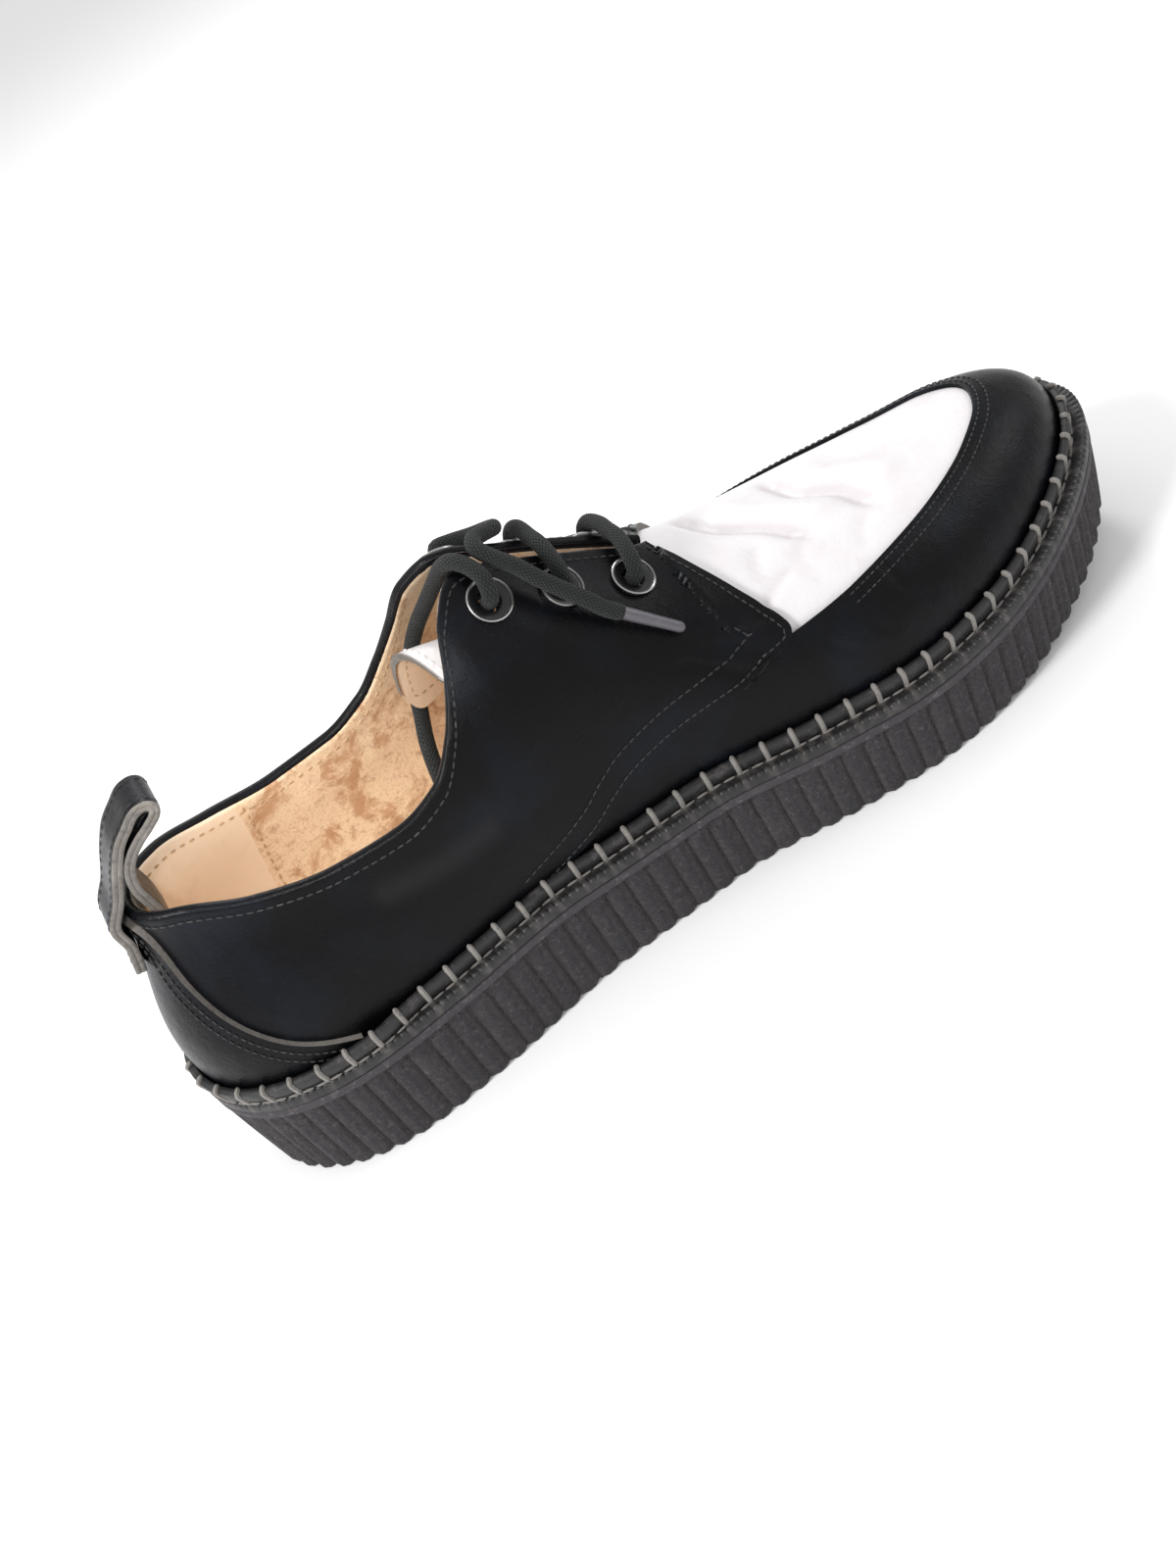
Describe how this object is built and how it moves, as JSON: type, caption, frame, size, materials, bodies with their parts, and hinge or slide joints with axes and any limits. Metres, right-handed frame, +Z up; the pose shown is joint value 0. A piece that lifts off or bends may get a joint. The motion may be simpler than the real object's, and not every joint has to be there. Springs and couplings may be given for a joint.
{
  "type": "derby shoe",
  "caption": "Left lace-up derby shoe in black leather with a white vamp plug, a stitched welt, a heel pull loop and a thick ribbed rubber platform sole.",
  "frame": {"origin": "on the ground, under the middle of the sole's length and width", "axes": "+X towards the toe, +Y towards the outer (lateral) side of this left shoe, +Z up"},
  "size_m": [0.3003, 0.1006, 0.1152],
  "materials": {
    "rubber": "matt dark grey rubber with a rough ribbed edge",
    "welt": "black edge with pale worn stitching",
    "lining": "unglazed tan lining leather, worn",
    "white_leather": "smooth white leather, creased",
    "black_leather": "semi-gloss black leather, fine grain",
    "metal": "gunmetal eyelets",
    "lace": "round woven cord",
    "aglet": "hard sleeve on a lace end"
  },
  "bodies": {
    "root": {"outsole": "rubber", "welt": "welt", "insole": "lining", "upper": "white_leather", "quarter_lateral": "black_leather", "quarter_medial": "black_leather", "mudguard": "black_leather", "heel_counter": "black_leather", "tongue": "white_leather", "pull_loop": "black_leather", "lace_bar_2": "lace", "lace_bar_3": "lace", "lace_end_lateral": "lace", "lace_end_medial": "lace", "aglet_lateral": "aglet", "aglet_medial": "aglet", "eyelet_lateral_1": "metal", "eyelet_lateral_2": "metal", "eyelet_lateral_3": "metal", "eyelet_medial_1": "metal", "eyelet_medial_2": "metal", "eyelet_medial_3": "metal"}
  },
  "joints": []
}
